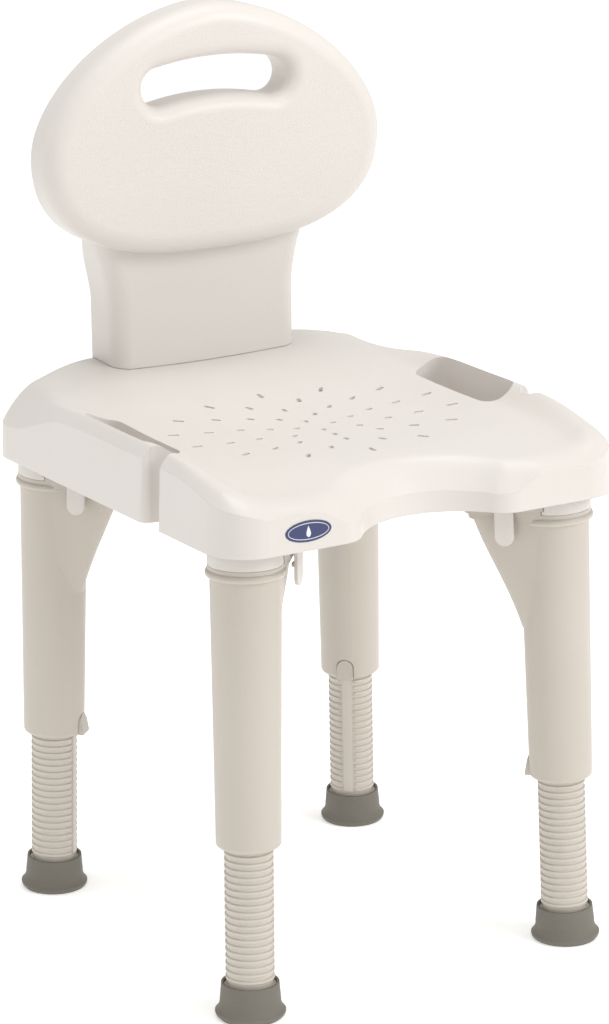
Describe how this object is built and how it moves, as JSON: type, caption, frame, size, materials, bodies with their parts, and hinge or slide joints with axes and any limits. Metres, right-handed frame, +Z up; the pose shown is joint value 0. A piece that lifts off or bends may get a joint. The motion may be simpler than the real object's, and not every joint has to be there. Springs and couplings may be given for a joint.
{
  "type": "shower stool",
  "caption": "Shower seat with backrest, hand slots, drain slots and height-adjustable legs with rubber feet.",
  "frame": {"origin": "on the floor, under the middle of the chair's bounding box", "axes": "+Z up, the sitter faces -Y, +X is the sitter's left"},
  "size_m": [0.472, 0.526, 0.967],
  "materials": {
    "moulded_shell": "satin, smooth",
    "moulded_leg": "satin, fine grain",
    "ribbed_tube": "satin",
    "catch": "satin",
    "foot_rubber": "matt",
    "washer_steel": "bare",
    "badge_blue": "gloss"
  },
  "bodies": {
    "seat_and_legs": {"seat": "moulded_shell", "badge": "badge_blue", "leg_tube_front_right": "moulded_leg", "leg_tube_front_left": "moulded_leg", "leg_tube_rear_right": "moulded_leg", "leg_tube_rear_left": "moulded_leg"},
    "backrest": {"backrest": "moulded_shell"},
    "leg_foot_front_right": {"leg_extension_front_right": "ribbed_tube", "foot_front_right": "foot_rubber", "foot_washer_front_right": "washer_steel"},
    "lock_tab_front_right": {"height_lock_tab_front_right": "catch"},
    "latch_front_right": {"seat_latch_front_right": "catch"},
    "leg_foot_front_left": {"leg_extension_front_left": "ribbed_tube", "foot_front_left": "foot_rubber", "foot_washer_front_left": "washer_steel"},
    "lock_tab_front_left": {"height_lock_tab_front_left": "catch"},
    "latch_front_left": {"seat_latch_front_left": "catch"},
    "leg_foot_rear_right": {"leg_extension_rear_right": "ribbed_tube", "foot_rear_right": "foot_rubber", "foot_washer_rear_right": "washer_steel"},
    "lock_tab_rear_right": {"height_lock_tab_rear_right": "catch"},
    "latch_rear_right": {"seat_latch_rear_right": "catch"},
    "leg_foot_rear_left": {"leg_extension_rear_left": "ribbed_tube", "foot_rear_left": "foot_rubber", "foot_washer_rear_left": "washer_steel"},
    "lock_tab_rear_left": {"height_lock_tab_rear_left": "catch"},
    "latch_rear_left": {"seat_latch_rear_left": "catch"}
  },
  "joints": [
    {"name": "backrest_lift", "type": "slide", "parent": "seat_and_legs", "child": "backrest", "axis": [0, 0, 1], "range_m": [0, 0.085]},
    {"name": "leg_height_front_right", "type": "slide", "parent": "seat_and_legs", "child": "leg_foot_front_right", "axis": [0.0207, 0.0229, 0.9995], "range_m": [-0.0147, 0.1176]},
    {"name": "lock_tab_pull_front_right", "type": "hinge", "parent": "seat_and_legs", "child": "lock_tab_front_right", "pos_m": [-0.16992, -0.18851, 0.19899], "axis": [0.7427, -0.6696, 0], "range_deg": [0, 6], "stiffness_Nm_per_rad": 5},
    {"name": "latch_flex_front_right", "type": "hinge", "parent": "seat_and_legs", "child": "latch_front_right", "pos_m": [-0.12219, -0.20296, 0.48948], "axis": [-0.7347, -0.6777, 0.0308], "range_deg": [0, 8], "stiffness_Nm_per_rad": 5},
    {"name": "leg_height_front_left", "type": "slide", "parent": "seat_and_legs", "child": "leg_foot_front_left", "axis": [-0.0207, 0.0229, 0.9995], "range_m": [-0.0147, 0.1176]},
    {"name": "lock_tab_pull_front_left", "type": "hinge", "parent": "seat_and_legs", "child": "lock_tab_front_left", "pos_m": [0.16992, -0.18851, 0.19899], "axis": [0.7427, 0.6696, 0], "range_deg": [0, 6], "stiffness_Nm_per_rad": 5},
    {"name": "latch_flex_front_left", "type": "hinge", "parent": "seat_and_legs", "child": "latch_front_left", "pos_m": [0.12219, -0.20296, 0.48948], "axis": [-0.7347, 0.6777, -0.0308], "range_deg": [0, 8], "stiffness_Nm_per_rad": 5},
    {"name": "leg_height_rear_right", "type": "slide", "parent": "seat_and_legs", "child": "leg_foot_rear_right", "axis": [0.0207, -0.0229, 0.9995], "range_m": [-0.0147, 0.1176]},
    {"name": "lock_tab_pull_rear_right", "type": "hinge", "parent": "seat_and_legs", "child": "lock_tab_rear_right", "pos_m": [-0.16992, 0.18851, 0.19899], "axis": [-0.7429, -0.6694, 0], "range_deg": [0, 6], "stiffness_Nm_per_rad": 5},
    {"name": "latch_flex_rear_right", "type": "hinge", "parent": "seat_and_legs", "child": "latch_rear_right", "pos_m": [-0.18923, 0.14253, 0.48948], "axis": [-0.5981, 0.8008, 0.0308], "range_deg": [0, 8], "stiffness_Nm_per_rad": 5},
    {"name": "leg_height_rear_left", "type": "slide", "parent": "seat_and_legs", "child": "leg_foot_rear_left", "axis": [-0.0207, -0.0229, 0.9995], "range_m": [-0.0147, 0.1176]},
    {"name": "lock_tab_pull_rear_left", "type": "hinge", "parent": "seat_and_legs", "child": "lock_tab_rear_left", "pos_m": [0.16992, 0.18851, 0.19899], "axis": [-0.7429, 0.6694, 0], "range_deg": [0, 6], "stiffness_Nm_per_rad": 5},
    {"name": "latch_flex_rear_left", "type": "hinge", "parent": "seat_and_legs", "child": "latch_rear_left", "pos_m": [0.18923, 0.14253, 0.48948], "axis": [-0.5981, -0.8008, -0.0308], "range_deg": [0, 8], "stiffness_Nm_per_rad": 5}
  ]
}
